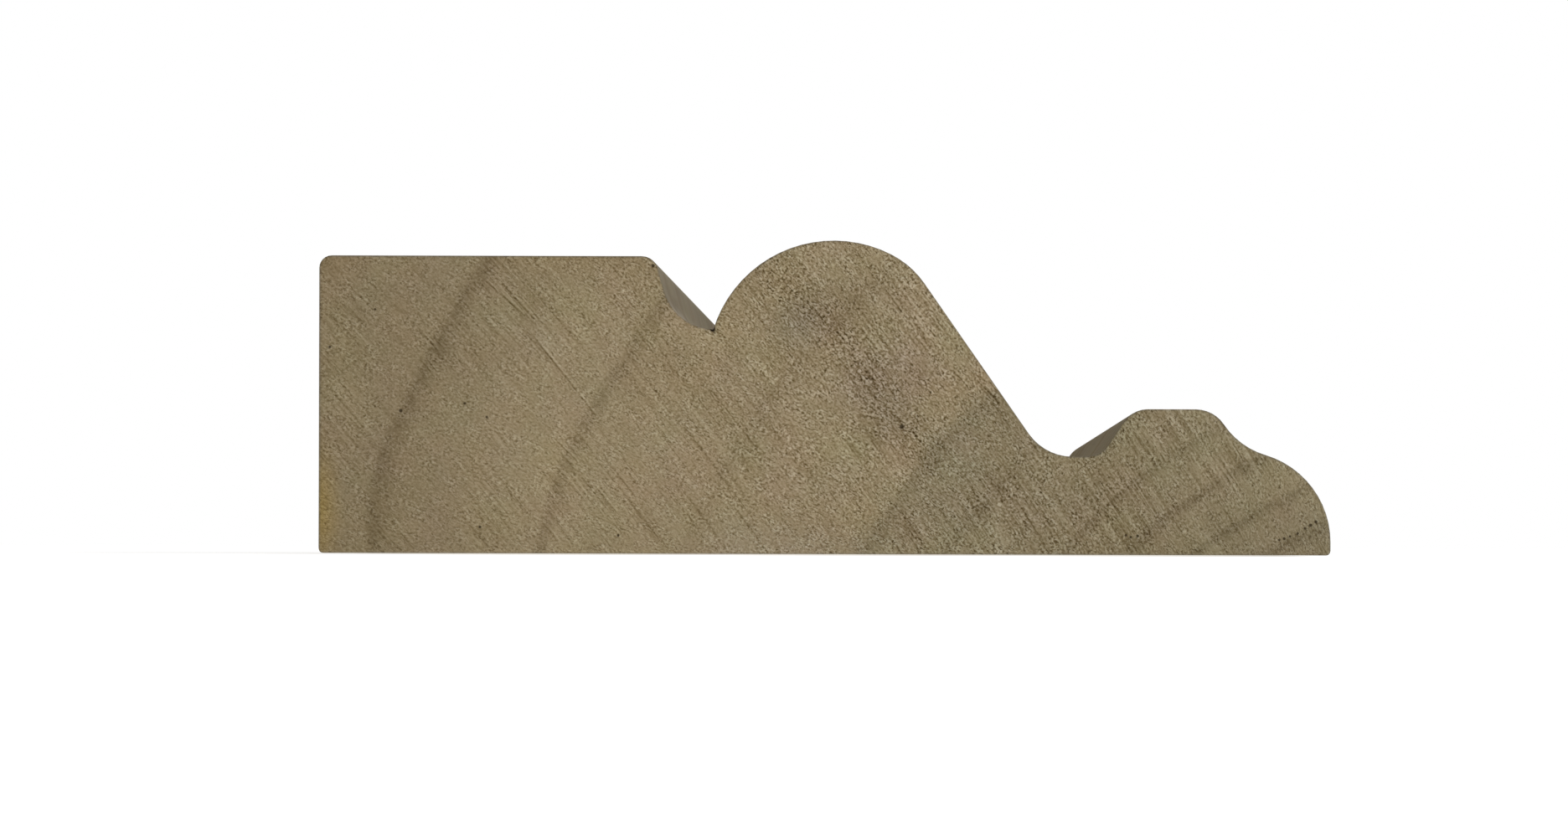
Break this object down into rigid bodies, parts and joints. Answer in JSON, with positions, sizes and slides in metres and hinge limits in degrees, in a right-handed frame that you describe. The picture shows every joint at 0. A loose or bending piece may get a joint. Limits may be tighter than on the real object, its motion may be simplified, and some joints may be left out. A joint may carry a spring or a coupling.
{
  "type": "skirting board",
  "caption": "Straight length of moulded hardwood skirting board with a plain band, quirk, torus, cove, fillet and nosed top edge, for the foot of a wall.",
  "frame": {"origin": "middle of the board's back face, halfway along its length and halfway between its lower and top edges", "axes": "+X across the board from its lower edge to its top edge, +Y along its length, +Z out of the wall, from the flat back to the moulded face"},
  "size_m": [0.069, 1, 0.0214],
  "materials": {
    "hardwood": "bare, planed along the grain and sawn across it"
  },
  "bodies": {
    "root": {"skirting_board": "hardwood"}
  },
  "joints": []
}
